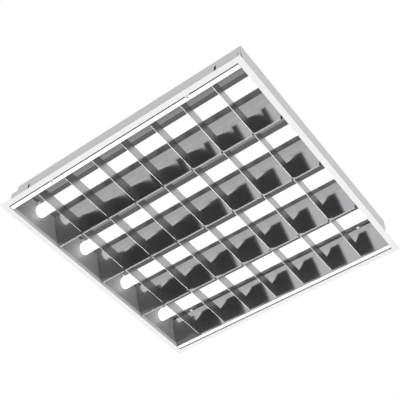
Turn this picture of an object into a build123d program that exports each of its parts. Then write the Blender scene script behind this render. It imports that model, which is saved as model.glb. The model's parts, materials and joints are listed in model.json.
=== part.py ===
"""Recessed troffer light for four straight lamps, with a mirror louvre that swings down.

Frame: +X along the lamps, +Y from the latch side (near) to the hinge side (far), +Z up as
installed. The origin is the middle of the flange's underside. All lengths are in mm.
"""

from build123d import *
import os
from math import sqrt

# ---------------------------------------------------------------- driving dimensions

# flange
module = 595.0                  # overall length and width of the flange
end_flange_width = 12.5         # left and right strips, up to the end walls
side_flange_width = 11.5        # near and far strips, up to the gap beside the louvre
flange_thickness = 1.0
rim_height = 3.0                # upturned inner edge of the near and far strips

# housing
sheet = 0.7                     # steel of the housing
housing_height = 75.0           # top of the roof over the flange's underside
ledge_height = 9.0              # underside of the ledge over the lip of the louvre
wall_inset = 12.0               # long wall, in from the inner edge of the flange
riser_outset = 6.0              # riser, out from the inner edge of the flange
foot_width = 5.0                # spot-welded foot of walls and end plates
wall_top_flange = 10.0
corner_relief = 4.0             # cut-away at the lower corners of the end plates
corner_relief_slope = 18.0
corner_relief_drop = 19.0       # upper end of the cut-away, under the top of the roof
seam_gap = 0.4                  # open seam between the long walls and the end plates

# details in the long walls; insets run from the end plates, drops from the top of the roof
clip_slot_width = 5.2
clip_slot_height = 15.0
clip_slot_drop = 14.0
clip_slot_inset_left = 33.5
clip_slot_inset_right = 58.2
slit_width = 0.8
slit_height = 14.0
slit_inset = 7.5
lug_length = 18.0               # reaches past the flange, over the bar of the ceiling grid
lug_height = 18.0
lug_drop = 13.0

# louvre
louvre_base = 1.0               # underside of the lips and ridges
mirror_sheet = 0.5
side_gap = 3.3                  # open gap between the lips and the flange
lip_width = 8.4
ridge_half_width = 1.4          # flat bottom of a V reflector
reflector_half_width = 33.2     # at the top of a V reflector
reflector_drop = 13.2           # top of a V reflector, under the top of the roof
reflector_bow = 1.8             # how far the curve stands off its chord
side_reflector_drop = 17.0
side_channel_loss = 0.9         # how much narrower the outer channels are
reflector_end_gap = 0.4         # louvre to the end reflectors
lip_end_gap = 0.5
ridge_chamfer_length = 5.0      # cut corner at the ends of each ridge
ridge_chamfer_height = 11.0

# cross blades
blade_count = 7
end_cell_share = 0.93375        # length of the end cells over that of the others
blade_thickness = 0.6
blade_bottom = 5.2
blade_lamp_clearance = 2.0
blade_corner = 2.0              # cut lower corners
blade_fit = 0.1
notch_half_width = 2.4          # notch in each ridge under a blade
notch_height = 2.6

# lamps
lamp_radius = 14.0
lamp_drop = 23.0                # axis under the top of the roof
lamp_glass = 0.8
cap_gap = 0.7                   # outer face of a cap to its holder
cap_length = 6.5
pin_radius = 1.2
pin_spacing = 12.7
pin_length = 6.8

# lampholders
holder_thickness = 9.8
rotor_radius = 10.0
rotor_depth = 7.4
rotor_fit = 0.05                # radial running clearance in the holder
pin_fit = 0.05
pin_slot_width = 3.2
holder_opening_gap = 0.3        # end reflector around a holder

# end reflectors
end_sheet = 0.4
end_reflector_bottom = 10.0
end_reflector_straight = 20.0   # height at which the curve starts
end_reflector_drop = 13.0
end_reflector_lean = 8.6        # how far the top leans in

# top reflectors
top_sheet = 0.5
top_flat_half_width = 16.7
top_half_width = 36.0
top_flat_drop = 4.3             # flat part, below the roof
top_edge_gap = 0.5              # lower edges, over the V reflectors
top_foot = 5.0
rivet_radius = 1.6
rivet_head_radius = 2.3
rivet_head_height = 0.8
rivet_inset = 85.0              # in from the end plates

# ballasts, terminal block, earth terminal, cable entry
ballast_length = 340.0
ballast_width = 30.0
ballast_height = 27.0
ballast_tab_length = 10.0
ballast_tab_thickness = 1.2
screw_radius = 2.0
screw_head_radius = 3.8
screw_head_height = 2.2
screw_tip = 1.6                 # screw point over the roof
terminal_length = 62.0
terminal_width = 24.0
terminal_height = 18.0
terminal_ways = 5
terminal_bore_radius = 2.0
earth_place = 110.0
earth_stud_length = 14.0
earth_nut_width = 7.0
earth_nut_height = 3.2
entry_place = -80.0             # from the middle, along X
entry_hole_radius = 9.0
grommet_bore_radius = 5.0
grommet_rim = 3.0
grommet_lip_height = 2.0
suspension_hole_radius = 3.3
suspension_end_inset = 55.0     # in from the end plates
suspension_side_inset = 17.5    # in from the long walls

# hinge
hinge_inset = 1.7               # axis, in from the outer edge of the lip
hinge_height = 5.0
hinge_pin_radius = 1.5
hinge_pin_length = 16.0
hinge_fit = 0.06                # radial running clearance in the eyes
hinge_press_gap = 0.02
eye_radius = 2.6
leaf_width = 10.0
leaf_thickness = 0.8
leaf_length = 6.0
ear_gap = 0.3
ear_thickness = 1.5
ear_radius = 3.0
bracket_plate_thickness = 0.8
bracket_reach = 9.0

# latches
latch_inset = 116.0             # in from the end plates
latch_width = 12.0
latch_thickness = 2.0
latch_rim_gap = 0.2             # bolt over the rim that it rests on
latch_engagement = 2.0          # bolt tip past the rim
latch_length = 9.7
latch_travel = 3.2
latch_tab_width = 4.0
latch_tab_thickness = 1.2
latch_tab_gap = 0.4             # tab to the lip
guide_wall = 1.0
guide_length = 6.0
guide_fit = 0.12

# ---------------------------------------------------------------- derived places

half = module / 2
end_inner = half - end_flange_width             # inner face of the end plates
side_inner = half - side_flange_width           # inner edge of the near and far strips
wall_outer = side_inner - wall_inset
riser_outer = side_inner + riser_outset
roof_under = housing_height - sheet
ledge_top = ledge_height + sheet
foot_top = flange_thickness + sheet
slot_top = housing_height - clip_slot_drop
slot_bottom = slot_top - clip_slot_height
slot_places = (clip_slot_inset_left - end_inner, end_inner - clip_slot_inset_right)
slit_place = end_inner - slit_inset
lug_top = housing_height - lug_drop
lug_bottom = lug_top - lug_height
suspension_place = end_inner - suspension_end_inset
rivet_place = end_inner - rivet_inset
latch_place = end_inner - latch_inset

reflector_top = housing_height - reflector_drop
side_reflector_top = housing_height - side_reflector_drop
end_reflector_top = housing_height - end_reflector_drop
lamp_height = housing_height - lamp_drop

lip_outer = side_inner - side_gap
side_ridge = lip_outer - lip_width + ridge_half_width
lamp_pitch = (side_ridge + side_channel_loss) / 2
ridges = [-lamp_pitch, 0.0, lamp_pitch]
lamp_lines = [lamp_pitch * step for step in (-1.5, -0.5, 0.5, 1.5)]
channel_sides = [-side_ridge] + ridges + [side_ridge]
blade_pitch = 2 * end_inner / (blade_count - 1 + 2 * end_cell_share)
blade_places = [blade_pitch * (i - (blade_count - 1) / 2) for i in range(blade_count)]
blade_top = lamp_height - lamp_radius - blade_lamp_clearance

# the reflector curve is an arc through the foot and the top, bowed towards the V's inside
chord_y = reflector_half_width - ridge_half_width
chord_z = reflector_top - louvre_base
chord = sqrt(chord_y ** 2 + chord_z ** 2)
curve_radius = chord ** 2 / (8 * reflector_bow) + reflector_bow / 2
curve_rise = curve_radius - reflector_bow
curve_y = (ridge_half_width + reflector_half_width) / 2 + curve_rise * chord_z / chord
curve_z = (louvre_base + reflector_top) / 2 - curve_rise * chord_y / chord

# the end reflector's curve starts upright and leans in by end_reflector_lean at the top
end_face = end_inner - end_sheet
end_rise = end_reflector_top - end_reflector_straight
end_radius = (end_rise ** 2 + end_reflector_lean ** 2) / (2 * end_reflector_lean)

top_flat = roof_under - top_flat_drop
top_edge = reflector_top + top_edge_gap
holder_face = end_inner - holder_thickness
holder_top = top_flat - holder_opening_gap
cap_face = holder_face - cap_gap

hinge_line = lip_outer - hinge_inset
hinge_places = (blade_places[0], blade_places[-1])
latch_bottom = rim_height + latch_rim_gap
latch_tip = side_inner + sheet + latch_engagement


# ---------------------------------------------------------------- helpers

def block(x0, x1, y0, y1, z0, z1):
    """Box between two corners."""
    centre = Pos((x0 + x1) / 2, (y0 + y1) / 2, (z0 + z1) / 2)
    return centre * Box(abs(x1 - x0), abs(y1 - y0), abs(z1 - z0))


def post(x, y, z0, z1, radius):
    """Upright cylinder."""
    return Pos(x, y, (z0 + z1) / 2) * Cylinder(radius, z1 - z0)


def rod(x0, x1, y, z, radius):
    """Cylinder along X."""
    return Pos((x0 + x1) / 2, y, z) * Rot(0, 90, 0) * Cylinder(radius, abs(x1 - x0))


def outline(points):
    """Flat face inside a closed run of straight lines."""
    return make_face(Polyline(*points, close=True))


def folded(points, thickness):
    """Face of a folded sheet: it lies on the right of the run of points."""
    inner = []
    for i, (y, z) in enumerate(points):
        sides = []
        for a, b in ((i - 1, i), (i, i + 1)):
            if a >= 0 and b < len(points):
                dy = points[b][0] - points[a][0]
                dz = points[b][1] - points[a][1]
                length = sqrt(dy ** 2 + dz ** 2)
                sides.append((dz / length, -dy / length))
        ny = sum(side[0] for side in sides) / len(sides)
        nz = sum(side[1] for side in sides) / len(sides)
        scale = thickness / (ny ** 2 + nz ** 2)
        inner.append((y + ny * scale, z + nz * scale))
    return outline(list(points) + inner[::-1])


def along_x(face, x0, x1):
    """Extrude a face drawn in Y and Z."""
    return extrude(Plane.YZ.offset(x0) * face, amount=x1 - x0)


def along_y(face, y0, y1):
    """Extrude a face drawn in X and Z."""
    return extrude(Plane.XZ.offset(-y0) * face, amount=y0 - y1)


def mirrored(shape, plane, wanted):
    """The shape itself, or its mirror image."""
    return mirror(shape, about=plane) if wanted else shape


def save(name, *solids):
    """Write one node, which may be a group of separate solids."""
    shape = solids[0] if len(solids) == 1 else Compound(list(solids))
    export_step(shape, f"parts/{name}.step")


# ---------------------------------------------------------------- the mirror curve

def half_width(z, back=0.0):
    """Half-width of a V reflector at a height; back moves to the hidden side of the sheet."""
    return curve_y - sqrt((curve_radius + back) ** 2 - (z - curve_z) ** 2)


def curve(ridge, side, z0, z1, back=0.0):
    """Arc of a reflector face, from z0 to z1, on one side of a ridge."""
    points = [(ridge + side * half_width(z, back), z) for z in (z0, (z0 + z1) / 2, z1)]
    return ThreePointArc(*points)


def closed_face(*edges):
    """Face inside a closed run of edges, joined by straight lines where they don't meet."""
    run = []
    for i, edge in enumerate(edges):
        run.append(edge)
        after = edges[(i + 1) % len(edges)]
        if (edge @ 1 - after @ 0).length > 1e-6:
            run.append(Line(edge @ 1, after @ 0))
    return make_face(run)


def end_silhouette(top, chamfer, end_gap):
    """Side view of a long reflector: ends that follow the end reflectors' lean."""
    radius = end_radius - end_gap
    centre = end_face - end_radius
    straight = centre + radius

    def lean(z):
        return centre + sqrt(radius ** 2 - (z - end_reflector_straight) ** 2)

    middle = (end_reflector_straight + top) / 2
    foot = straight - chamfer
    right = [
        Line((foot, louvre_base), (straight, louvre_base + ridge_chamfer_height)),
        Line((straight, louvre_base + ridge_chamfer_height), (straight, end_reflector_straight)),
        ThreePointArc((straight, end_reflector_straight), (lean(middle), middle), (lean(top), top)),
    ]
    left = [
        ThreePointArc((-lean(top), top), (-lean(middle), middle), (-straight, end_reflector_straight)),
        Line((-straight, end_reflector_straight), (-straight, louvre_base + ridge_chamfer_height)),
        Line((-straight, louvre_base + ridge_chamfer_height), (-foot, louvre_base)),
    ]
    return closed_face(*right, *left)


# ---------------------------------------------------------------- flange

def long_flange(side):
    """Near or far strip, with the rim that the latches rest on."""
    leg = block(-half, half, side_inner, half, 0, flange_thickness)
    rim = block(-end_inner, end_inner, side_inner, side_inner + sheet, 0, rim_height)
    return mirrored(leg + rim, Plane.XZ, side < 0)


def end_flange(side):
    """Left or right strip, between the long ones."""
    return block(side * end_inner, side * half, -side_inner, side_inner, 0, flange_thickness)


# ---------------------------------------------------------------- housing

def side_wall(side):
    """Long wall, folded out over the lip of the louvre and down to a foot on the flange."""
    wall_end = end_inner - seam_gap
    path = [
        (wall_outer - wall_top_flange, roof_under),
        (wall_outer, roof_under),
        (wall_outer, ledge_top),
        (riser_outer, ledge_top),
        (riser_outer, foot_top),
        (riser_outer + foot_width, foot_top),
    ]
    wall = along_x(folded(path, sheet), -wall_end, wall_end)
    lug_end = end_inner + lug_length
    wall += block(-lug_end, -wall_end, wall_outer - sheet, wall_outer, lug_bottom, lug_top)
    for place in slot_places:
        start = place - clip_slot_width / 2
        wall -= block(start, start + clip_slot_width, wall_outer - 2 * sheet, wall_outer + sheet,
                      slot_bottom, slot_top)
    wall -= block(slit_place - slit_width / 2, slit_place + slit_width / 2,
                  wall_outer - 2 * sheet, wall_outer + sheet, slot_top - slit_height, slot_top)
    return mirrored(wall, Plane.XZ, side < 0)


def roof_panel():
    """Flat roof with the holes for cable, suspension, rivets and screws."""
    roof_end = end_inner + sheet
    roof = block(-roof_end, roof_end, -wall_outer, wall_outer, roof_under, housing_height)
    holes = [(entry_place, 0, entry_hole_radius)]
    for sx in (-1, 1):
        for sy in (-1, 1):
            holes.append((sx * suspension_place, sy * (wall_outer - suspension_side_inset),
                          suspension_hole_radius))
    holes += [(x, y, screw_radius) for x, y in screw_places()]
    holes += [(x, y, rivet_radius) for x, y in rivet_places()]
    for x, y, radius in holes:
        roof -= post(x, y, roof_under - sheet, housing_height + sheet, radius)
    return roof


def end_plate(side):
    """End wall that closes the ledges, with cut-away corners above them and a foot."""
    low = wall_outer - corner_relief
    relief_top = housing_height - corner_relief_drop
    right_edge = [
        (riser_outer, flange_thickness), (riser_outer, ledge_top), (low, ledge_top),
        (low, relief_top - corner_relief_slope), (wall_outer, relief_top), (wall_outer, roof_under),
    ]
    left_edge = [(-y, z) for y, z in right_edge[::-1]]
    plate = along_x(outline(right_edge + left_edge), end_inner, end_inner + sheet)
    plate += block(end_inner, end_inner + sheet + foot_width, -low, low, flange_thickness, foot_top)
    if side < 0:
        for edge in (-1, 1):
            plate -= block(end_inner - sheet, end_inner + 2 * sheet,
                           edge * (wall_outer - sheet - seam_gap), edge * (wall_outer + sheet),
                           lug_bottom - seam_gap, lug_top + seam_gap)
    return mirrored(plate, Plane.YZ, side < 0)


def holder_outline(grow):
    """Front view of a lampholder: round below, straight sides above."""
    radius = lamp_radius + grow
    arch = ThreePointArc((-radius, lamp_height), (0, lamp_height - radius), (radius, lamp_height))
    top = holder_top + grow
    return closed_face(arch, Line((radius, top), (-radius, top)))


def end_reflector(side):
    """Satin sheet at the lamp ends: upright below, leaning in at the top."""
    centre = end_face - end_radius
    middle = (end_reflector_straight + end_reflector_top) / 2

    def lean(z, radius):
        return centre + sqrt(radius ** 2 - (z - end_reflector_straight) ** 2)

    def arc(radius, heights):
        return ThreePointArc(*[(lean(z, radius), z) for z in heights])

    heights = (end_reflector_straight, middle, end_reflector_top)
    face = closed_face(
        Line((end_inner, end_reflector_bottom), (end_face, end_reflector_bottom)),
        Line((end_face, end_reflector_bottom), (end_face, end_reflector_straight)),
        arc(end_radius, heights),
        arc(end_radius + end_sheet, heights[::-1]),
        Line((end_inner, end_reflector_straight), (end_inner, end_reflector_bottom)),
    )
    reach = wall_outer - sheet - seam_gap
    reflector = along_y(face, -reach, reach)
    for line in lamp_lines:
        cut = along_x(holder_outline(holder_opening_gap), holder_face - sheet, end_inner + sheet)
        reflector -= Pos(0, line, 0) * cut
    return mirrored(reflector, Plane.YZ, side < 0)


def top_reflector(line):
    """Reflector above one lamp: flat, two wings, and webs up to feet under the roof."""
    web = top_half_width + top_sheet
    wings = [
        (top_half_width, top_edge), (top_flat_half_width, top_flat),
        (-top_flat_half_width, top_flat), (-top_half_width, top_edge),
    ]
    shape = along_x(folded(wings, top_sheet), -end_face, end_face)
    for side in (-1, 1):
        shape += block(-end_face, end_face, side * top_half_width, side * web, top_edge, roof_under)
        shape += block(-end_face, end_face, side * web, side * (web + top_foot),
                       roof_under - top_sheet, roof_under)
    for x in (-rivet_place, rivet_place):
        for y in (-web - top_foot / 2, web + top_foot / 2):
            shape -= post(x, y, roof_under - 2 * top_sheet, roof_under + top_sheet, rivet_radius)
    return Pos(0, line, 0) * shape


def rivet_places():
    """Rivets through the feet of the top reflectors."""
    reach = top_half_width + top_sheet + top_foot / 2
    return [(x, line + y) for line in lamp_lines for x in (-rivet_place, rivet_place)
            for y in (-reach, reach)]


def reflector_rivets():
    rivets = []
    for x, y in rivet_places():
        foot = roof_under - top_sheet
        rivet = post(x, y, foot, housing_height, rivet_radius)
        rivet += post(x, y, foot - rivet_head_height, foot, rivet_head_radius)
        rivet += post(x, y, housing_height, housing_height + rivet_head_height, rivet_head_radius)
        rivets.append(rivet)
    return rivets


def lampholders(line):
    """Pair of holders: a recess for the rotor and a slot for the pins below it."""
    holder = along_x(holder_outline(0), holder_face, end_inner)
    recess = holder_face + rotor_depth
    holder -= rod(holder_face - 1, recess, 0, lamp_height, rotor_radius + rotor_fit)
    holder -= block(holder_face - 1, recess, -pin_slot_width / 2, pin_slot_width / 2,
                    lamp_height - 2 * lamp_radius, lamp_height)
    holder = Pos(0, line, 0) * holder
    return [mirror(holder, about=Plane.YZ), holder]


# ---------------------------------------------------------------- electrical parts

def screw_places():
    reach = ballast_length / 2 + ballast_tab_length / 2
    return [(x, y) for y in (ridges[0], ridges[-1]) for x in (-reach, reach)]


def ballast(line):
    """Slim case on a base plate with a tab and a screw hole at each end."""
    case = block(-ballast_length / 2, ballast_length / 2, -ballast_width / 2, ballast_width / 2,
                 roof_under - ballast_height, roof_under)
    reach = ballast_length / 2 + ballast_tab_length
    tab = block(-reach, reach, -ballast_width / 2, ballast_width / 2,
                roof_under - ballast_tab_thickness, roof_under)
    shape = Pos(0, line, 0) * (case + tab)
    for x, y in screw_places():
        if y == line:
            shape -= post(x, y, roof_under - 2 * ballast_tab_thickness, housing_height, screw_radius)
    return shape


def ballast_screws():
    screws = []
    for x, y in screw_places():
        tab = roof_under - ballast_tab_thickness
        screw = post(x, y, tab, housing_height + screw_tip, screw_radius)
        screws.append(screw + post(x, y, tab - screw_head_height, tab, screw_head_radius))
    return screws


def terminal_block():
    """Mains terminal block with a wire bore and a screw well for each way."""
    bottom = roof_under - terminal_height
    shape = block(-terminal_length / 2, terminal_length / 2, -terminal_width / 2, terminal_width / 2,
                  bottom, roof_under)
    way = terminal_length / terminal_ways
    for i in range(terminal_ways):
        x = way * (i - (terminal_ways - 1) / 2)
        bore = Pos(x, 0, bottom + terminal_height / 2) * Rot(90, 0, 0)
        shape -= bore * Cylinder(terminal_bore_radius, 2 * terminal_width)
        shape -= post(x, 0, bottom - 1, bottom + terminal_height / 2, terminal_bore_radius)
    return shape


def earth_terminal():
    """Stud under the roof with its nut."""
    tip = roof_under - earth_stud_length
    stud = post(earth_place, 0, tip, roof_under, screw_radius)
    hexagon = RegularPolygon(earth_nut_width / 2, 6, major_radius=False)
    nut_top = roof_under - earth_stud_length / 3
    nut = extrude(Pos(earth_place, 0, nut_top - earth_nut_height) * hexagon, amount=earth_nut_height)
    return stud + nut


def cable_grommet():
    """Rubber grommet that grips the edge of the cable hole in the roof."""
    outer = entry_hole_radius + grommet_rim
    shape = post(entry_place, 0, roof_under - grommet_lip_height, roof_under, outer)
    shape += post(entry_place, 0, roof_under, housing_height, entry_hole_radius)
    shape += post(entry_place, 0, housing_height, housing_height + grommet_lip_height, outer)
    bottom = roof_under - grommet_lip_height
    shape -= post(entry_place, 0, bottom - 1, housing_height + grommet_lip_height + 1,
                  grommet_bore_radius)
    return shape


# ---------------------------------------------------------------- louvre

def tab_notch(place, top):
    """Room in the near lip for the travel of a latch's finger tab."""
    width = latch_tab_width / 2 + latch_tab_gap
    depth = latch_tab_gap + latch_travel
    return block(place - width, place + width, -lip_outer - 1, -lip_outer + depth,
                 louvre_base - 1, top)


def v_reflector(ridge):
    """Folded mirror sheet, open at the top, with a notch in the ridge under each blade."""
    inner_base = louvre_base + mirror_sheet
    face = closed_face(
        curve(0, 1, louvre_base, reflector_top),
        curve(0, 1, reflector_top, inner_base, mirror_sheet),
        curve(0, -1, inner_base, reflector_top, mirror_sheet),
        curve(0, -1, reflector_top, louvre_base),
    )
    sheet_run = along_x(face, -end_inner, end_inner)
    silhouette = end_silhouette(reflector_top, ridge_chamfer_length, reflector_end_gap)
    reflector = sheet_run & along_y(silhouette, -reflector_half_width - 1, reflector_half_width + 1)
    notch = outline([(-notch_half_width, louvre_base - 1), (notch_half_width, louvre_base - 1),
                     (0, louvre_base + notch_height)])
    for place in blade_places:
        reach = 2 * ridge_half_width + notch_height
        reflector -= Pos(place, 0, 0) * along_y(notch, -reach, reach)
    return Pos(0, ridge, 0) * reflector


def side_reflector(side):
    """Half of a V with a flat lip over the gap beside the flange."""
    inner_base = louvre_base + mirror_sheet
    face = closed_face(
        curve(side_ridge, -1, louvre_base, side_reflector_top),
        curve(side_ridge, -1, side_reflector_top, inner_base, mirror_sheet),
        Line((lip_outer, inner_base), (lip_outer, louvre_base)),
    )
    sheet_run = along_x(face, -end_inner, end_inner)
    silhouette = end_silhouette(side_reflector_top, 0, lip_end_gap)
    reach = side_ridge - reflector_half_width
    reflector = sheet_run & along_y(silhouette, reach - 1, lip_outer + 1)
    if side < 0:
        reflector = mirror(reflector, about=Plane.XZ)
        for place in (-latch_place, latch_place):
            reflector -= tab_notch(place, inner_base + 1)
    return reflector


def blade_plate(left, right):
    """One blade between two reflectors, with cut lower corners."""
    low = blade_bottom
    left_low = left + half_width(low, -blade_fit) + blade_corner
    right_low = right - half_width(low, -blade_fit) - blade_corner
    chamfer_top = low + blade_corner
    face = closed_face(
        Line((left_low, low), (right_low, low)),
        curve(right, -1, chamfer_top, blade_top, -blade_fit),
        curve(left, 1, blade_top, chamfer_top, -blade_fit),
    )
    return along_x(face, -blade_thickness / 2, blade_thickness / 2)


def cross_blade(place):
    """Row of four blades across the louvre."""
    pairs = zip(channel_sides[:-1], channel_sides[1:])
    return [Pos(place, 0, 0) * blade_plate(left, right) for left, right in pairs]


# ---------------------------------------------------------------- hinge

def hinge_leaf(place):
    """Leaf on the lip with the eye that turns on the pin."""
    base = louvre_base + mirror_sheet
    x0 = place - leaf_width / 2
    x1 = place + leaf_width / 2
    leaf = block(x0, x1, hinge_line - leaf_length, hinge_line, base, base + leaf_thickness)
    leaf += block(x0, x1, hinge_line - eye_radius / 2, hinge_line + eye_radius / 2, base, hinge_height)
    leaf += rod(x0, x1, hinge_line, hinge_height, eye_radius)
    return leaf - rod(x0 - 1, x1 + 1, hinge_line, hinge_height, hinge_pin_radius + hinge_fit)


def hinge_bracket(place):
    """Plate under the ledge with two ears that hold the pin."""
    reach = leaf_width / 2 + ear_gap + ear_thickness
    plate_bottom = ledge_height - bracket_plate_thickness
    bracket = block(place - reach, place + reach, hinge_line - ear_radius,
                    hinge_line + bracket_reach, plate_bottom, ledge_height)
    for side in (-1, 1):
        inner = place + side * (leaf_width / 2 + ear_gap)
        outer = place + side * reach
        bracket += block(inner, outer, hinge_line - ear_radius, hinge_line + ear_radius,
                         hinge_height, ledge_height)
        bracket += rod(min(inner, outer), max(inner, outer), hinge_line, hinge_height, ear_radius)
    hole = hinge_pin_radius + hinge_press_gap
    return bracket - rod(place - reach - 1, place + reach + 1, hinge_line, hinge_height, hole)


def hinge_pin(place):
    reach = hinge_pin_length / 2
    return rod(place - reach, place + reach, hinge_line, hinge_height, hinge_pin_radius)


# ---------------------------------------------------------------- latches

def latch_bolt(place):
    """Flat bolt whose tip lies over the flange's rim, with a finger tab in the gap."""
    top = latch_bottom + latch_thickness
    bolt = block(place - latch_width / 2, place + latch_width / 2,
                 -latch_tip, -latch_tip + latch_length, latch_bottom, top)
    tab_inner = -lip_outer - latch_tab_gap
    bolt += block(place - latch_tab_width / 2, place + latch_tab_width / 2,
                  tab_inner - latch_tab_thickness, tab_inner, louvre_base, latch_bottom)
    return bolt


def latch_guide(place):
    """Loop on the lip that the bolt slides through, notched for the finger tab."""
    base = louvre_base + mirror_sheet
    opening = latch_width / 2 + guide_fit
    reach = opening + guide_wall
    top = latch_bottom + latch_thickness + guide_fit
    inner_end = -lip_outer + guide_length
    guide = block(place - reach, place + reach, -lip_outer, inner_end, base, top + guide_wall)
    guide -= block(place - opening, place + opening, -lip_outer - 1, inner_end + 1,
                   latch_bottom - guide_fit, top)
    return guide - tab_notch(place, latch_bottom)


# ---------------------------------------------------------------- lamps

def lamp_tube(line):
    """Hollow glass tube between the caps."""
    reach = cap_face - cap_length
    tube = rod(-reach, reach, line, lamp_height, lamp_radius)
    return tube - rod(-reach - 1, reach + 1, line, lamp_height, lamp_radius - lamp_glass)


def lamp_caps(line):
    """Two caps, each with its pair of pins."""
    cap = rod(cap_face - cap_length, cap_face, line, lamp_height, lamp_radius)
    for side in (-1, 1):
        y = line + side * pin_spacing / 2
        cap += rod(cap_face, cap_face + pin_length, y, lamp_height, pin_radius)
    return [mirror(cap, about=Plane.YZ), cap]


def lamp_rotors(line):
    """Two rotors that the pins sit in; they turn with the lamp."""
    face = holder_face
    rotor = rod(face, face + rotor_depth - rotor_fit, line, lamp_height, rotor_radius)
    for side in (-1, 1):
        y = line + side * pin_spacing / 2
        rotor -= rod(face - 1, face + rotor_depth, y, lamp_height, pin_radius + pin_fit)
    return [mirror(rotor, about=Plane.YZ), rotor]


# ---------------------------------------------------------------- write every node

os.makedirs("parts", exist_ok=True)

for name, side in (("near", -1), ("far", 1)):
    save(f"flange_{name}", long_flange(side))
    save(f"side_wall_{name}", side_wall(side))
    save(f"side_reflector_{name}", side_reflector(side))

for name, side in (("left", -1), ("right", 1)):
    save(f"flange_{name}", end_flange(side))
    save(f"end_plate_{name}", end_plate(side))
    save(f"end_reflector_{name}", end_reflector(side))

save("roof_panel", roof_panel())
save("reflector_rivets", *reflector_rivets())

for number, line in enumerate(lamp_lines, 1):
    save(f"top_reflector_{number}", top_reflector(line))
    save(f"lampholders_{number}", *lampholders(line))
    save(f"lamp_tube_{number}", lamp_tube(line))
    save(f"lamp_caps_{number}", *lamp_caps(line))
    save(f"lamp_rotors_{number}", *lamp_rotors(line))

for number, line in enumerate((ridges[0], ridges[-1]), 1):
    save(f"ballast_{number}", ballast(line))
save("ballast_screws", *ballast_screws())
save("terminal_block", terminal_block())
save("earth_terminal", earth_terminal())
save("cable_grommet", cable_grommet())

for number, ridge in enumerate(ridges, 1):
    save(f"v_reflector_{number}", v_reflector(ridge))
for number, place in enumerate(blade_places, 1):
    save(f"cross_blade_{number}", *cross_blade(place))

for name, place in zip(("left", "right"), hinge_places):
    save(f"hinge_leaf_{name}", hinge_leaf(place))
    save(f"hinge_bracket_{name}", hinge_bracket(place))
save("hinge_pins", *[hinge_pin(place) for place in hinge_places])

for name, place in (("left", -latch_place), ("right", latch_place)):
    save(f"latch_{name}", latch_bolt(place))
    save(f"latch_guide_{name}", latch_guide(place))
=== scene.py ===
"""Recessed troffer light: finishes, lamps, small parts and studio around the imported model.

The file is laid out as an add-on and run as a script. Everything is in metres, in the frame of
the model: +X along the lamps, +Y from the latch side to the hinge side, +Z up as installed, with
the underside of the flange at z = 0.
"""

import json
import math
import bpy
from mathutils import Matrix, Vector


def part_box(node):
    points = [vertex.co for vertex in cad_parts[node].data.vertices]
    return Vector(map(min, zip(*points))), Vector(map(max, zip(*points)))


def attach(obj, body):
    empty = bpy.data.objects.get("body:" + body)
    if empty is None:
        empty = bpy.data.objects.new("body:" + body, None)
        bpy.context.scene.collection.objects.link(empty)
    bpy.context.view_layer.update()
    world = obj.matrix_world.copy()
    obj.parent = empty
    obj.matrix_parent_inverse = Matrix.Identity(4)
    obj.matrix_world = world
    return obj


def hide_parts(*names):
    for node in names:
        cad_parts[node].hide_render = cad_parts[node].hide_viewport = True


bl_info = {
    "name": "Recessed Troffer Light",
    "version": (1, 0, 0),
    "blender": (4, 5, 0),
    "location": "3D View > Sidebar > Troffer",
    "description": "Finishes, lamps, small parts and studio of a recessed troffer light",
    "category": "Object",
}

import bpy

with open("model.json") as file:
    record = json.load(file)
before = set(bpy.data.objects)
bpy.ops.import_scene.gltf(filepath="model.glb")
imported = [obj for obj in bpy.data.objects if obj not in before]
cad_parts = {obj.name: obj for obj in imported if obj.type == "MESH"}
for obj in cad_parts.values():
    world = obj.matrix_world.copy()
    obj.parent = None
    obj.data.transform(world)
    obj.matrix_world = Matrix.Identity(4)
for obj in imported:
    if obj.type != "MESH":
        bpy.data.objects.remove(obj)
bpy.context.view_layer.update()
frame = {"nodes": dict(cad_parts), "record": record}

MM = 0.001
LAMPS = (1, 2, 3, 4)

# Sizes of the patterns on the sheets.
CREST_HALF_WIDTH = 1.0 * MM     # half of the flat between the two bends of a V
CREST_DEPTH = 0.1 * MM          # how far up from its lowest point a V counts as crest
CUT_DEPTH = 0.1 * MM            # how far up from its lower edge a blade counts as cut
STRIP_HALF_WIDTH = 16.7 * MM    # half of the strip right over a tube
WING_HALF_WIDTH = 36.0 * MM     # from the tube's line out to the end of the wings' fading
STRIP_END = 2.0 * MM            # how far the strip stops before the tube's end
STRIP_FADE = 4.0 * MM           # length over which it changes to the sheet past the tube

# Painted light and shade on the sheets over the lamps, as a share of their colour: painted shade
# right over each tube, painted light on the wings fading out to painted shade, and painted light
# past the tube's end, matched by comparing renders.
PAINTED_SHADE_OVER_TUBE = 0.55
PAINTED_LIGHT_WING_INSIDE = 1.3
PAINTED_SHADE_WING_OUTSIDE = 0.8
PAINTED_LIGHT_PAST_TUBE = 1.4
BLUR_PAST_TUBE = 0.7            # roughness there

# Painted glow of the caps and holders, which are no lamps, where 1 is white.
CAP_PAINTED_GLOW = 0.85
HOLDER_PAINTED_GLOW = 0.9               # where the tube's end covers the holder
HOLDER_PAINTED_GLIMMER = 0.22           # outside that
GLOW_EDGE = 0.5 * MM            # width of the change between the two

# The glass is a touch darker from here to its ends, as distances from the middle.
GLASS_DIMS_FROM = 0.255
GLASS_DIMS_TO = 0.268

# Rounding of the small parts.
TUBE_SIDES = 64
SHOULDER_STEPS = 4
MERGE_DISTANCE = 0.002 * MM
FLAT_ANGLE = math.radians(0.5)      # faces that lie flatter than this become one
SHARP_ANGLE = math.radians(40)      # edges sharper than this are rounded
SMOOTH_ANGLE = math.radians(35)     # edges flatter than this are shaded smooth
HOLDER_EDGE = 0.7 * MM
ROTOR_EDGE = 0.3 * MM

# The camera, solved from the straight edges of the flange, the ridges and the blades.
CAMERA_PLACE = (0.70914, -0.96139, -1.27362)
CAMERA_TURN = (138.7424, -0.1324, 36.7266)      # in degrees

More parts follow.
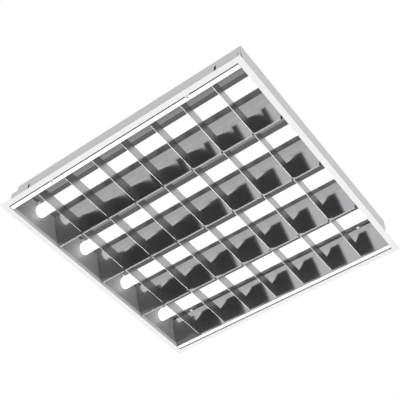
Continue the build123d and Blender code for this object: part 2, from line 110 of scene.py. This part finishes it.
# Lights and paper, matched by comparing renders.
CARD_PLACE = (-1.0, 1.55, -2.0)
CARD_SIZE = 2.0
LOWER_LAMP_SIZE = 8.0
LOWER_LAMP_RISE = 0.1
UPPER_LAMP_SIZE = 4.0
UPPER_LAMP_HEIGHT = 3.0
PAPER_SEEN = 0.45               # glow of the paper for the camera, which makes it white
PAPER_MIRRORED = 0.1            # and for mirrors


# ---------------------------------------------------------------- what a user would change

class TrofferLampSizes(bpy.types.PropertyGroup):
    """Sizes of the lamps that the model leaves plain."""

    shoulder_length: bpy.props.FloatProperty(
        name="Shoulder length", description="Length over which the glass is drawn in at each cap",
        default=3.0 * MM, min=0.0, unit="LENGTH")
    shoulder_depth: bpy.props.FloatProperty(
        name="Shoulder depth", description="How far the glass is drawn in at each cap",
        default=0.8 * MM, min=0.0, unit="LENGTH")
    cap_edge: bpy.props.FloatProperty(
        name="Cap edge", description="Rounding of the outer edges of the caps",
        default=0.9 * MM, min=0.0, unit="LENGTH")
    lamp_strength: bpy.props.FloatProperty(
        name="Glow", description="Brightness of the lit tube, where 1 is white", default=1.0,
        min=0.0)


class TrofferFinishes(bpy.types.PropertyGroup):
    """Colours and gloss of the sheets."""

    paint: bpy.props.StringProperty(
        name="Paint", description="Colour of the powder coat, as sRGB hex", default="#EEEEEE")
    mirror: bpy.props.StringProperty(
        name="Mirror", description="Colour of the bright anodised sheet, as sRGB hex",
        default="#A2A2A3")
    blade: bpy.props.StringProperty(
        name="Blades", description="Colour of the cross blades, as sRGB hex", default="#ABABAC")
    cut_edge: bpy.props.StringProperty(
        name="Cut edge", description="Colour of the bare edge of the blades, as sRGB hex",
        default="#D2D2D2")
    satin: bpy.props.StringProperty(
        name="Satin sheet", description="Colour of the satin sheet, as sRGB hex",
        default="#BEBEBF")
    top_sheet: bpy.props.StringProperty(
        name="Top sheet", description="Colour of the sheets over the lamps, as sRGB hex",
        default="#848485")
    top_roughness: bpy.props.FloatProperty(
        name="Top roughness", description="Blur of the sheets over the lamps", default=0.3,
        min=0.0, max=1.0)
    # The crest colour is painted shade on the flat bottom of each V, darker than the mirror sheet.
    crest: bpy.props.StringProperty(
        name="Crest", description="Colour of the dull crest of the V folds, as sRGB hex",
        default="#565657")
    mirror_roughness: bpy.props.FloatProperty(
        name="Mirror roughness", description="Blur of the long reflectors", default=0.1, min=0.0,
        max=1.0)
    blade_roughness: bpy.props.FloatProperty(
        name="Blade roughness", description="Blur of the cross blades", default=0.285, min=0.0,
        max=1.0)
    satin_roughness: bpy.props.FloatProperty(
        name="Satin roughness", description="Blur of the end reflectors", default=0.55,
        min=0.0, max=1.0)


class TrofferStudio(bpy.types.PropertyGroup):
    """Floor, lights and camera."""

    floor_height: bpy.props.FloatProperty(
        name="Floor height", description="Height of the studio floor, below the camera",
        default=-2.4, unit="LENGTH")
    floor_size: bpy.props.FloatProperty(
        name="Floor size", description="Width of the studio floor", default=16.0, min=1.0,
        unit="LENGTH")
    room_light: bpy.props.FloatProperty(
        name="Room light", description="Even light from all round", default=0.38, min=0.0)
    window_light: bpy.props.FloatProperty(
        name="Window card", description="Power of the card that only the mirrors show, in watts",
        default=36.0, min=0.0)
    lower_light: bpy.props.FloatProperty(
        name="Lower light", description="Power of the wide lamp over the floor, in watts",
        default=142.0, min=0.0)
    upper_light: bpy.props.FloatProperty(
        name="Upper light", description="Power of the wide lamp above, in watts", default=52.0,
        min=0.0)
    lens: bpy.props.FloatProperty(
        name="Lens", description="Focal length of the camera on a 36 mm sensor, in mm",
        default=75.383, min=1.0)


# ---------------------------------------------------------------- colour and nodes

def linear(text):
    """The linear colour of an sRGB hex value."""
    channels = [int(text[i:i + 2], 16) / 255 for i in (1, 3, 5)]
    return [c / 12.92 if c <= 0.04045 else ((c + 0.055) / 1.055) ** 2.4 for c in channels] + [1.0]


def add_node(tree, kind, inputs=(), **settings):
    """Add a node: settings are its own options, inputs its values or the sockets that feed it."""
    made = tree.nodes.new(kind)
    for name, value in settings.items():
        setattr(made, name, value)
    for name, value in dict(inputs).items():
        if isinstance(value, bpy.types.NodeSocket):
            tree.links.new(value, made.inputs[name])
        else:
            made.inputs[name].default_value = value
    return made


def new_material(name):
    """An empty node material with its output."""
    material = bpy.data.materials.new(name)
    material.use_nodes = True
    material.node_tree.nodes.clear()
    return material, add_node(material.node_tree, "ShaderNodeOutputMaterial")


def surface(material, output, shader):
    """Feed a material's output with its finished shader."""
    material.node_tree.links.new(shader.outputs[0], output.inputs["Surface"])
    return material


def powder_coated_steel(colour):
    """Steel sheet with a white polyester powder coat.

    The powder flows out when it is baked, so the film has a satin gloss and a faint orange peel
    with waves of 1.5 to 2 mm, and the gloss differs a little from place to place.
    """
    material, output = new_material("powder_coated_steel")
    tree = material.node_tree
    place = add_node(tree, "ShaderNodeTexCoord")
    # waves of 2 mm, which is 500 to the metre
    peel = add_node(tree, "ShaderNodeTexNoise", {
        "Vector": place.outputs["Object"], "Scale": 500.0, "Detail": 2.0, "Roughness": 0.45})
    cloud = add_node(tree, "ShaderNodeTexNoise", {
        "Vector": place.outputs["Object"], "Scale": 9.0, "Detail": 3.0})
    gloss = add_node(tree, "ShaderNodeMapRange", {
        "Value": cloud.outputs["Fac"], "From Min": 0.3, "From Max": 0.7,
        "To Min": 0.36, "To Max": 0.46})
    bump = add_node(tree, "ShaderNodeBump", {
        "Height": peel.outputs["Fac"], "Strength": 0.05, "Distance": 0.12 * MM})
    paint = add_node(tree, "ShaderNodeBsdfPrincipled", {
        "Base Color": linear(colour), "Roughness": gloss.outputs["Result"],
        "IOR": 1.5, "Normal": bump.outputs["Normal"]})
    return surface(material, output, paint)


def anodised_aluminium(name, colour, roughness, rolled, streaks, mirrors=1.0, crest=None,
                       strip=None, cut_edge=None):
    """Aluminium sheet, rolled, brightened and anodised.

    The rolls leave fine lines along the sheet, about half a millimetre apart when seen close,
    where it is a little duller. The clear oxide film darkens the metal to a soft grey. The
    lines are drawn 3 mm apart so that they can show.

    rolled: the directions that the lines run in
    streaks: how much they differ
    mirrors: 1 for bright metal, and less where a satin surface scatters the light
    crest: painted shade on the flat between the two bends of a V, as its colour, the distance
    between the Vs, its half width and the height that it lies below
    strip: painted shade on the strip over each tube, with painted light on the wings fading
    outwards and past the tube's end, as the distance between the tubes, the half widths of
    strip and wings, and how far along X it reaches
    cut_edge: the bare edge, which is brighter, as its colour and the height that it lies below
    """
    material, output = new_material(name)
    tree = material.node_tree
    place = add_node(tree, "ShaderNodeTexCoord")
    # 330 to the metre across the lines, and 3 along them
    stretch = [3.0 if axis in rolled else 330.0 for axis in "XYZ"]
    stretched = add_node(tree, "ShaderNodeMapping", {
        "Vector": place.outputs["Object"], "Scale": stretch})
    lines = add_node(tree, "ShaderNodeTexNoise", {
        "Vector": stretched.outputs["Vector"], "Scale": 1.0, "Detail": 2.0})
    blur = add_node(tree, "ShaderNodeMapRange", {
        "Value": lines.outputs["Fac"], "From Min": 0.3, "From Max": 0.7,
        "To Min": roughness * (1 - 3 * streaks), "To Max": roughness * (1 + 3 * streaks)})
    film = add_node(tree, "ShaderNodeMapRange", {
        "Value": lines.outputs["Fac"], "From Min": 0.3, "From Max": 0.7,
        "To Min": 1 - streaks, "To Max": 1 + streaks})
    tone = add_node(tree, "ShaderNodeVectorMath", {
        0: linear(colour)[:3], "Scale": film.outputs[0]}, operation="SCALE")
    if strip:
        # Painted shade over each tube, painted light on the wings fading outwards, painted light
        # past the tube's end
        pitch, flat, wing, reach = strip
        aside = beside_row(tree, place, pitch, 0.0)
        fade = add_node(tree, "ShaderNodeMapRange", {
            "Value": aside, "From Min": flat / pitch, "From Max": wing / pitch,
            "To Min": PAINTED_LIGHT_WING_INSIDE, "To Max": PAINTED_SHADE_WING_OUTSIDE})
        over_tube = add_node(tree, "ShaderNodeMath", {0: aside, 1: flat / pitch},
                             operation="LESS_THAN")
        shade = add_node(tree, "ShaderNodeMix", {
            0: over_tube.outputs[0], 2: fade.outputs[0], 3: PAINTED_SHADE_OVER_TUBE})
        past_tube = add_node(tree, "ShaderNodeMapRange", {
            "Value": from_middle(tree, place), "From Min": reach - STRIP_FADE,
            "From Max": reach})
        shade = add_node(tree, "ShaderNodeMix", {
            0: past_tube.outputs[0], 2: shade.outputs[0], 3: PAINTED_LIGHT_PAST_TUBE})
        blur = add_node(tree, "ShaderNodeMix", {
            0: past_tube.outputs[0], 2: blur.outputs[0], 3: BLUR_PAST_TUBE})
        tone = add_node(tree, "ShaderNodeVectorMath", {
            0: tone.outputs[0], "Scale": shade.outputs[0]}, operation="SCALE")
    base = tone.outputs[0]
    # Painted shade on the flat crest of each V.
    if crest:
        base = mixed_colour(tree, crest_of_folds(tree, place, *crest[1:]), base, crest[0])
    if cut_edge:
        base = mixed_colour(tree, below(tree, place, cut_edge[1]), base, cut_edge[0])
    metal = add_node(tree, "ShaderNodeBsdfPrincipled", {
        "Base Color": base, "Metallic": mirrors, "Roughness": blur.outputs[0]})
    return surface(material, output, metal)


def mixed_colour(tree, share, first, second):
    """From a first colour to a second one, given as sRGB hex, as a share goes from 0 to 1."""
    if isinstance(first, str):
        first = linear(first)
    return add_node(tree, "ShaderNodeMix", {
        "Factor": share, 6: first, 7: linear(second)}, data_type="RGBA").outputs[2]


def from_middle(tree, place):
    """How far along X a place is from the middle."""
    split = add_node(tree, "ShaderNodeSeparateXYZ", {"Vector": place.outputs["Object"]})
    return add_node(tree, "ShaderNodeMath", {0: split.outputs["X"]},
                    operation="ABSOLUTE").outputs[0]


def beside_row(tree, place, pitch, offset):
    """How far along Y a place is from the nearest of a row of lines, as a share of their pitch.

    With an offset of 0 the lines lie half a pitch from the middle, as the tubes do, and with
    0.5 one of them is the middle, as the V reflectors' are.
    """
    split = add_node(tree, "ShaderNodeSeparateXYZ", {"Vector": place.outputs["Object"]})
    row = add_node(tree, "ShaderNodeMath", {0: split.outputs["Y"], 1: 1 / pitch, 2: offset},
                   operation="MULTIPLY_ADD")
    share = add_node(tree, "ShaderNodeMath", {0: row.outputs[0]}, operation="FRACT")
    aside = add_node(tree, "ShaderNodeMath", {0: share.outputs[0], 1: 0.5}, operation="SUBTRACT")
    return add_node(tree, "ShaderNodeMath", {0: aside.outputs[0]}, operation="ABSOLUTE").outputs[0]


def below(tree, place, height):
    """1 below a height, and 0 above it."""
    split = add_node(tree, "ShaderNodeSeparateXYZ", {"Vector": place.outputs["Object"]})
    return add_node(tree, "ShaderNodeMath", {0: split.outputs["Z"], 1: height},
                    operation="LESS_THAN").outputs[0]


def crest_of_folds(tree, place, pitch, half_width, height):
    """1 on the flat bottom between the two bends of each V reflector, and 0 elsewhere."""
    between = add_node(tree, "ShaderNodeMath", {
        0: beside_row(tree, place, pitch, 0.5), 1: half_width / pitch}, operation="LESS_THAN")
    return add_node(tree, "ShaderNodeMath", {
        0: between.outputs[0], 1: below(tree, place, height)}, operation="MULTIPLY").outputs[0]


def lit_opal_glass(strength):
    """Soda-lime glass tube with a white phosphor coat inside, lit.

    The coat hides the inside and glows evenly, a touch less at the very ends.
    """
    material, output = new_material("lit_opal_glass")
    tree = material.node_tree
    place = add_node(tree, "ShaderNodeTexCoord")
    ends = add_node(tree, "ShaderNodeMapRange", {
        "Value": from_middle(tree, place), "From Min": GLASS_DIMS_FROM, "From Max": GLASS_DIMS_TO,
        "To Min": 1.0, "To Max": 0.97})
    grain = add_node(tree, "ShaderNodeTexNoise", {
        "Vector": place.outputs["Object"], "Scale": 700.0, "Detail": 1.0})
    coat = add_node(tree, "ShaderNodeMapRange", {
        "Value": grain.outputs["Fac"], "To Min": 0.99, "To Max": 1.01})
    even = add_node(tree, "ShaderNodeMath", {0: ends.outputs[0], 1: coat.outputs[0]},
                    operation="MULTIPLY")
    glass = add_node(tree, "ShaderNodeBsdfPrincipled", {
        "Base Color": linear("#3A3A3A"), "Roughness": 0.25, "IOR": 1.52,
        "Emission Color": mixed_colour(tree, even.outputs[0], "#000000", "#FFFFFF"),
        "Emission Strength": strength})
    return surface(material, output, glass)


def moulded_plastic(name, colour, roughness, glow=0.0):
    """Injection-moulded plastic.

    The spark-eroded mould leaves a fine matt grain of about 0.2 mm, drawn coarser so that it
    can show, and the colour clouds very slightly where the melt met.
    """
    material, output = new_material(name)
    tree = material.node_tree
    place = add_node(tree, "ShaderNodeTexCoord")
    cloud = add_node(tree, "ShaderNodeTexNoise", {
        "Vector": place.outputs["Object"], "Scale": 40.0, "Detail": 2.0})
    shade = add_node(tree, "ShaderNodeMapRange", {
        "Value": cloud.outputs["Fac"], "To Min": 0.96, "To Max": 1.04})
    tone = add_node(tree, "ShaderNodeVectorMath", {
        0: linear(colour)[:3], "Scale": shade.outputs[0]}, operation="SCALE")
    plastic = add_node(tree, "ShaderNodeBsdfPrincipled", {
        "Base Color": tone.outputs[0], "Roughness": roughness, "IOR": 1.5,
        # A glow above 0 is painted light.
        "Emission Color": linear("#FFFFFF"), "Emission Strength": glow,
        "Normal": mould_grain(tree, place)})
    return surface(material, output, plastic)


def mould_grain(tree, place):
    """The fine matt grain that a spark-eroded mould leaves, drawn at 0.5 mm."""
    grain = add_node(tree, "ShaderNodeTexNoise", {
        "Vector": place.outputs["Object"], "Scale": 2000.0, "Detail": 1.0})
    return add_node(tree, "ShaderNodeBump", {
        "Height": grain.outputs["Fac"], "Strength": 0.15,
        "Distance": 0.05 * MM}).outputs["Normal"]


def holder_plastic_with_painted_glow(colour, reach, lamp_pitch, lamp_height):
    """White moulded polycarbonate of the lampholders.

    Its glow is painted light on a part that is no lamp: bright as far out as the tube's end
    covers it, and on its top behind the reflectors only a faint painted glow over a greyer
    painted shade. It has the same grain as other mouldings.
    """
    material, output = new_material("lampholder_plastic_painted_glow")
    tree = material.node_tree
    place = add_node(tree, "ShaderNodeTexCoord")
    across = add_node(tree, "ShaderNodeMath", {
        0: beside_row(tree, place, lamp_pitch, 0.0), 1: lamp_pitch}, operation="MULTIPLY")
    split = add_node(tree, "ShaderNodeSeparateXYZ", {"Vector": place.outputs["Object"]})
    over = add_node(tree, "ShaderNodeMath", {0: split.outputs["Z"], 1: lamp_height},
                    operation="SUBTRACT")
    from_axis = add_node(tree, "ShaderNodeCombineXYZ", {
        "X": across.outputs[0], "Y": over.outputs[0]})
    distance = add_node(tree, "ShaderNodeVectorMath", {0: from_axis.outputs[0]},
                        operation="LENGTH")
    glow = add_node(tree, "ShaderNodeMapRange", {
        "Value": distance.outputs["Value"], "From Min": reach, "From Max": reach + GLOW_EDGE,
        "To Min": HOLDER_PAINTED_GLOW, "To Max": HOLDER_PAINTED_GLIMMER})
    plastic = add_node(tree, "ShaderNodeBsdfPrincipled", {
        # Painted shade: the base turns greyer where the painted glow is faint.
        "Base Color": mixed_colour(tree, glow.outputs[0], "#B4B4B4", colour),
        "Roughness": 0.45, "IOR": 1.58,
        "Emission Color": linear("#FFFFFF"), "Emission Strength": glow.outputs[0],
        "Normal": mould_grain(tree, place)})
    return surface(material, output, plastic)


def zinc_plated_steel():
    """Pressed steel with a bright zinc plating.

    The plating is bluish grey, with soft patches of duller crystals a few millimetres across.
    """
    material, output = new_material("zinc_plated_steel")
    tree = material.node_tree
    place = add_node(tree, "ShaderNodeTexCoord")
    patches = add_node(tree, "ShaderNodeTexNoise", {
        "Vector": place.outputs["Object"], "Scale": 260.0, "Detail": 3.0})
    blur = add_node(tree, "ShaderNodeMapRange", {
        "Value": patches.outputs["Fac"], "From Min": 0.3, "From Max": 0.7,
        "To Min": 0.28, "To Max": 0.42})
    metal = add_node(tree, "ShaderNodeBsdfPrincipled", {
        "Base Color": mixed_colour(tree, patches.outputs["Fac"], "#A9ADB2", "#CBCED1"),
        "Metallic": 1.0, "Roughness": blur.outputs["Result"]})
    return surface(material, output, metal)


# ---------------------------------------------------------------- modelling helpers

def nothing_selected():
    """Object mode with nothing selected."""
    if bpy.context.object and bpy.context.object.mode != "OBJECT":
        bpy.ops.object.mode_set(mode="OBJECT")
    bpy.ops.object.select_all(action="DESELECT")


def pick_faces(piece, wanted):
    """Select the faces of a piece whose normal is wanted, in edit mode."""
    bpy.ops.object.mode_set(mode="EDIT")
    bpy.ops.mesh.select_mode(type="FACE")
    bpy.ops.mesh.select_all(action="DESELECT")
    bpy.ops.object.mode_set(mode="OBJECT")
    for face in piece.data.polygons:
        face.select = wanted(face.normal)
    bpy.ops.object.mode_set(mode="EDIT")


def give_finish(piece, material):
    """Make a material a new piece's only one."""
    piece.data.materials.clear()
    piece.data.materials.append(material)


def settle(piece, name, body, material, nodes=()):
    """Put a finished piece's place into its mesh, name it, and let it ride."""
    if piece.mode != "OBJECT":
        bpy.ops.object.mode_set(mode="OBJECT")
    bpy.ops.object.select_all(action="DESELECT")
    piece.select_set(True)
    bpy.context.view_layer.objects.active = piece
    bpy.ops.object.transform_apply(location=True, rotation=True, scale=True)
    piece.name = piece.data.name = name
    give_finish(piece, material)
    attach(piece, body)
    if nodes:
        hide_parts(*nodes)
    piece.select_set(False)
    return piece


def material_of(name):
    """A finish by its name, or an error if it hasn't been made."""
    material = bpy.data.materials.get(name)
    if material is None:
        raise RuntimeError(f"the finishes have to be made first: {name} is missing")
    return material


# ---------------------------------------------------------------- operators

class TrofferMakeFinishes(bpy.types.Operator):
    """Make the finishes and give them to the sheets and fittings of the model"""

    bl_idname = "troffer.make_finishes"
    bl_label = "Finishes"

    def execute(self, context):
        sizes = context.scene.troffer_lamp
        look = context.scene.troffer_finish
        paint = powder_coated_steel(look.paint)
        low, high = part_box("lamp_tube_3")
        pitch = low.y + high.y
        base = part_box("v_reflector_2")[0].z
        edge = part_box("cross_blade_1")[0].z
        mirror = anodised_aluminium("bright_anodised_aluminium", look.mirror,
                                    look.mirror_roughness, "X", 0.006)
        folded = anodised_aluminium("folded_aluminium_painted_crest_shade", look.mirror,
                                    # The V reflectors carry painted shade on their crests.
                                    look.mirror_roughness, "X", 0.006,
                                    crest=(look.crest, pitch, CREST_HALF_WIDTH,
                                           base + CREST_DEPTH))
        blade = anodised_aluminium("semi_bright_anodised_aluminium", look.blade,
                                   look.blade_roughness, "XY", 0.008,
                                   cut_edge=(look.cut_edge, edge + CUT_DEPTH))
        satin = anodised_aluminium("satin_anodised_aluminium", look.satin,
                                   look.satin_roughness, "XY", 0.012, 0.5)
        # The sheets over the lamps carry painted light and shade in bands along the tubes.
        top = anodised_aluminium("etched_aluminium_painted_light_and_shade", look.top_sheet,
                                 look.top_roughness, "X", 0.012,
                                 strip=(pitch, STRIP_HALF_WIDTH, WING_HALF_WIDTH,
                                        high.x - STRIP_END))
        glass = lit_opal_glass(sizes.lamp_strength)
        # The caps carry a painted glow, though they are no lamps.
        caps = moulded_plastic("cap_plastic_painted_glow", "#F4F4F2", 0.4, CAP_PAINTED_GLOW)
        white = holder_plastic_with_painted_glow("#F1F1EE", (high.z - low.z) / 2, pitch,
                                   (low.z + high.z) / 2)
        block = moulded_plastic("white_polyamide", "#E9E9E5", 0.45)
        latch = moulded_plastic("white_nylon", "#F6F6F4", 0.4)
        case = moulded_plastic("painted_ballast_case", "#D9DADA", 0.4)
        rubber = moulded_plastic("black_rubber", "#1B1B1C", 0.7)
        zinc = zinc_plated_steel()
        finishes = {
            "flange": paint, "side_wall": paint, "end_plate": paint, "roof_panel": paint,
            "v_reflector": folded, "side_reflector": mirror, "cross_blade": blade,
            "top_reflector": top, "end_reflector": satin, "lamp_tube": glass,
            "lamp_caps": caps, "lampholders": white, "lamp_rotors": white,
            "terminal_block": block, "latch_left": latch, "latch_right": latch,
            "ballast_1": case, "ballast_2": case, "cable_grommet": rubber,
        }
        for name, node in frame["nodes"].items():
            found = [m for start, m in finishes.items() if name.startswith(start)]
            give_finish_to_slots(node, found[0] if found else zinc)
        return {"FINISHED"}


def give_finish_to_slots(node, material):
    """Assign a finish to each material slot of a CAD node."""
    for slot in node.material_slots:
        slot.material = material


class TrofferAddLamps(bpy.types.Operator):
    """Add the four glass tubes with drawn-in shoulders"""

    bl_idname = "troffer.add_lamps"
    bl_label = "Lamp tubes"

    def execute(self, context):
        sizes = context.scene.troffer_lamp
        glass = material_of("lit_opal_glass")
        for number in LAMPS:
            low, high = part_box(f"lamp_tube_{number}")
            radius = (high.z - low.z) / 2
            nothing_selected()
            bpy.ops.mesh.primitive_cylinder_add(
                vertices=TUBE_SIDES, radius=radius,
                depth=high.x - low.x - 2 * sizes.shoulder_length,
                location=(low + high) / 2, rotation=(0, math.pi / 2, 0))
            tube = bpy.context.object
            bpy.ops.object.transform_apply(location=False, rotation=True, scale=False)
            for side in (-1, 1):
                pick_faces(tube, lambda normal: normal.x * side > 0.9)
                before = 1.0
                for step in range(1, SHOULDER_STEPS + 1):
                    angle = step / SHOULDER_STEPS * math.pi / 2
                    bpy.ops.mesh.extrude_region_move(TRANSFORM_OT_translate={
                        "value": (side * sizes.shoulder_length / SHOULDER_STEPS, 0, 0)})
                    after = 1 - sizes.shoulder_depth / radius * (1 - math.cos(angle))
                    bpy.ops.transform.resize(value=(1, after / before, after / before))
                    before = after
            bpy.ops.object.mode_set(mode="OBJECT")
            bpy.ops.object.shade_smooth_by_angle(angle=SHARP_ANGLE)
            settle(tube, f"glass_tube_{number}", f"lamp_{number}", glass,
                   [f"lamp_tube_{number}"])
        return {"FINISHED"}


def merged_copy(node, name):
    """A copy of a CAD piece, its loose triangles merged to whole faces, ready to be shaped."""
    mesh = frame["nodes"][node].data.copy()
    piece = bpy.data.objects.new(name, mesh)
    bpy.context.scene.collection.objects.link(piece)
    nothing_selected()
    piece.select_set(True)
    bpy.context.view_layer.objects.active = piece
    if mesh.has_custom_normals:
        bpy.ops.mesh.customdata_custom_splitnormals_clear()
    bpy.ops.object.mode_set(mode="EDIT")
    bpy.ops.mesh.select_all(action="SELECT")
    bpy.ops.mesh.remove_doubles(threshold=MERGE_DISTANCE)
    bpy.ops.mesh.dissolve_limited(angle_limit=FLAT_ANGLE)
    bpy.ops.object.mode_set(mode="OBJECT")
    return piece


def rounded(node, name, material, edge, steps=2):
    """A copy of a CAD piece with its sharp edges rounded, which takes the piece's place."""
    piece = merged_copy(node, name)
    bevel = piece.modifiers.new("rounded_edges", "BEVEL")
    bevel.width = edge
    bevel.segments = steps
    bevel.limit_method = "ANGLE"
    bevel.angle_limit = SHARP_ANGLE
    bpy.ops.object.modifier_apply(modifier=bevel.name)
    bpy.ops.object.shade_smooth_by_angle(angle=SMOOTH_ANGLE)
    return settle(piece, name, body_of(node), material, [node])


def body_of(node):
    """The body that a CAD node belongs to."""
    for body, nodes in frame["record"]["behaviour"]["bodies"].items():
        if node in nodes:
            return body
    raise RuntimeError(f"no body holds {node}")


class TrofferRoundLampEnds(bpy.types.Operator):
    """Round the caps, holders and rotors at the ends of the lamps"""

    bl_idname = "troffer.round_lamp_ends"
    bl_label = "Lamp caps and holders"

    def execute(self, context):
        sizes = context.scene.troffer_lamp
        cap = material_of("cap_plastic_painted_glow")
        holder = material_of("lampholder_plastic_painted_glow")
        for number in LAMPS:
            rounded(f"lamp_caps_{number}", f"lamp_ends_{number}", cap,
                    sizes.cap_edge, 3)
            rounded(f"lampholders_{number}", f"holder_pair_{number}", holder,
                    HOLDER_EDGE)
            rounded(f"lamp_rotors_{number}", f"rotor_pair_{number}", holder,
                    ROTOR_EDGE)
        return {"FINISHED"}


class TrofferRoundFittings(bpy.types.Operator):
    """Round the control gear, terminals, cable grommet, latches and fasteners"""

    bl_idname = "troffer.round_fittings"
    bl_label = "Gear and fittings"

    def execute(self, context):
        # node, piece, slot, finish, rounding in mm, segments of the rounding
        plans = (
            ("ballast_1", "ballast_case_1", "ballast_case", "painted_ballast_case", 1.2, 3),
            ("ballast_2", "ballast_case_2", "ballast_case", "painted_ballast_case", 1.2, 3),
            ("terminal_block", "mains_terminals", "white_plastic", "white_polyamide", 0.5, 2),
            ("cable_grommet", "entry_grommet", "black_rubber", "black_rubber", 0.8, 3),
            ("latch_left", "latch_bolt_left", "latch_plastic", "white_nylon", 0.3, 2),
            ("latch_right", "latch_bolt_right", "latch_plastic", "white_nylon", 0.3, 2),
            ("latch_guide_left", "bolt_guide_left", "zinc_steel", "zinc_plated_steel", 0.2, 2),
            ("latch_guide_right", "bolt_guide_right", "zinc_steel", "zinc_plated_steel", 0.2, 2),
            ("ballast_screws", "pan_head_screws", "zinc_steel", "zinc_plated_steel", 0.7, 3),
            ("reflector_rivets", "domed_rivets", "zinc_steel", "zinc_plated_steel", 0.5, 3),
            ("earth_terminal", "earth_stud", "zinc_steel", "zinc_plated_steel", 0.3, 2),
        )
        for node, name, slot, finish, edge, steps in plans:
            rounded(node, name, material_of(finish), edge * MM, steps)
        return {"FINISHED"}


class TrofferAddStage(bpy.types.Operator):
    """Add the floor, the lights, the white surroundings and the camera"""

    bl_idname = "troffer.add_stage"
    bl_label = "Stage and camera"

    def execute(self, context):
        studio = context.scene.troffer_studio
        nothing_selected()
        bpy.ops.mesh.primitive_plane_add(size=studio.floor_size,
                                         location=(0, 0, studio.floor_height))
        floor = bpy.context.object
        floor.name = "studio_floor"
        bpy.ops.object.transform_apply(location=True, rotation=True, scale=True)
        give_finish(floor, self.floor_paper())
        self.add_lamp("window_card", CARD_PLACE, CARD_SIZE, studio.window_light, math.pi, True)
        self.add_lamp("lower_softbox", (0, 0, studio.floor_height + LOWER_LAMP_RISE),
                      LOWER_LAMP_SIZE, studio.lower_light, math.pi, False)
        self.add_lamp("upper_softbox", (0, 0, UPPER_LAMP_HEIGHT), UPPER_LAMP_SIZE,
                      studio.upper_light, 0.0, False)
        self.white_surroundings(context, studio.room_light)
        bpy.ops.object.camera_add(
            location=CAMERA_PLACE, rotation=[math.radians(turn) for turn in CAMERA_TURN])
        camera = bpy.context.object
        camera.name = "photo_camera"
        camera.data.sensor_width = 36.0
        camera.data.lens = studio.lens
        camera.data.clip_start = 0.05
        camera.data.clip_end = 50.0
        context.scene.camera = camera
        context.scene.view_settings.view_transform = "Standard"
        return {"FINISHED"}

    def add_lamp(self, name, place, size, power, turn, mirrored):
        """A wide soft lamp that faces straight up or down, or a bright card for the mirrors."""
        bpy.ops.object.light_add(type="AREA", location=place, rotation=(turn, 0, 0))
        lamp = bpy.context.object
        lamp.name = name
        lamp.data.shape = "SQUARE"
        lamp.data.size = size
        lamp.data.energy = power
        lamp.visible_camera = False
        lamp.visible_glossy = mirrored
        lamp.visible_diffuse = not mirrored

    def floor_paper(self):
        """Pale matt background paper with a faint tooth."""
        material, output = new_material("background_paper")
        tree = material.node_tree
        place = add_node(tree, "ShaderNodeTexCoord")
        tooth = add_node(tree, "ShaderNodeTexNoise", {
            "Vector": place.outputs["Object"], "Scale": 60.0, "Detail": 3.0})
        paper = add_node(tree, "ShaderNodeBsdfDiffuse", {
            "Color": mixed_colour(tree, tooth.outputs["Fac"], "#EDEDEC", "#F3F3F2")})
        path = add_node(tree, "ShaderNodeLightPath")
        lift = add_node(tree, "ShaderNodeMath", {
            0: path.outputs["Is Camera Ray"], 1: PAPER_SEEN}, operation="MULTIPLY")
        both_lifts = add_node(tree, "ShaderNodeMath", {
            0: path.outputs["Is Glossy Ray"], 1: PAPER_MIRRORED, 2: lift.outputs[0]},
            operation="MULTIPLY_ADD")
        white = add_node(tree, "ShaderNodeEmission", {
            "Color": linear("#FFFFFF"), "Strength": both_lifts.outputs[0]})
        both = add_node(tree, "ShaderNodeAddShader", {0: paper.outputs[0], 1: white.outputs[0]})
        return surface(material, output, both)

    def white_surroundings(self, context, level):
        """White where it is seen or mirrored, and a plain even light for everything else."""
        world = bpy.data.worlds.new("white_surroundings")
        world.use_nodes = True
        tree = world.node_tree
        tree.nodes.clear()
        seen = seen_or_mirrored(tree)
        strength = add_node(tree, "ShaderNodeMapRange", {
            "Value": seen, "To Min": level, "To Max": 1.0})
        background = add_node(tree, "ShaderNodeBackground", {
            "Color": linear("#FFFFFF"), "Strength": strength.outputs[0]})
        add_node(tree, "ShaderNodeOutputWorld", {"Surface": background.outputs[0]})
        context.scene.world = world


def seen_or_mirrored(tree):
    """1 for a ray from the camera, a mirror or glass, and 0 for the light on matt surfaces."""
    path = add_node(tree, "ShaderNodeLightPath")
    first = add_node(tree, "ShaderNodeMath", {
        0: path.outputs["Is Camera Ray"], 1: path.outputs["Is Glossy Ray"]},
        operation="MAXIMUM")
    return add_node(tree, "ShaderNodeMath", {
        0: first.outputs[0], 1: path.outputs["Is Transmission Ray"]},
        operation="MAXIMUM").outputs[0]


OPERATORS = (TrofferMakeFinishes, TrofferAddLamps, TrofferRoundLampEnds, TrofferRoundFittings,
             TrofferAddStage)


# ---------------------------------------------------------------- panel and registration

class TrofferPanel(bpy.types.Panel):
    """Lists the steps and sizes of the troffer light"""

    bl_idname = "VIEW3D_PT_troffer"
    bl_label = "Troffer Light"
    bl_space_type = "VIEW_3D"
    bl_region_type = "UI"
    bl_category = "Troffer"

    def draw(self, context):
        for group in ("troffer_finish", "troffer_lamp", "troffer_studio"):
            settings = getattr(context.scene, group)
            for name in settings.__annotations__:
                self.layout.prop(settings, name)
        for operator in OPERATORS:
            self.layout.operator(operator.bl_idname)


CLASSES = (TrofferLampSizes, TrofferFinishes, TrofferStudio, *OPERATORS, TrofferPanel)


def register():
    for entry in CLASSES:
        bpy.utils.register_class(entry)
    bpy.types.Scene.troffer_lamp = bpy.props.PointerProperty(type=TrofferLampSizes)
    bpy.types.Scene.troffer_finish = bpy.props.PointerProperty(type=TrofferFinishes)
    bpy.types.Scene.troffer_studio = bpy.props.PointerProperty(type=TrofferStudio)


def unregister():
    del bpy.types.Scene.troffer_studio
    del bpy.types.Scene.troffer_finish
    del bpy.types.Scene.troffer_lamp
    for entry in reversed(CLASSES):
        bpy.utils.unregister_class(entry)


def main():
    register()
    nothing_selected()
    bpy.ops.troffer.make_finishes()
    bpy.ops.troffer.add_lamps()
    bpy.ops.troffer.round_lamp_ends()
    bpy.ops.troffer.round_fittings()
    bpy.ops.troffer.add_stage()


if __name__ == "__main__":
    main()
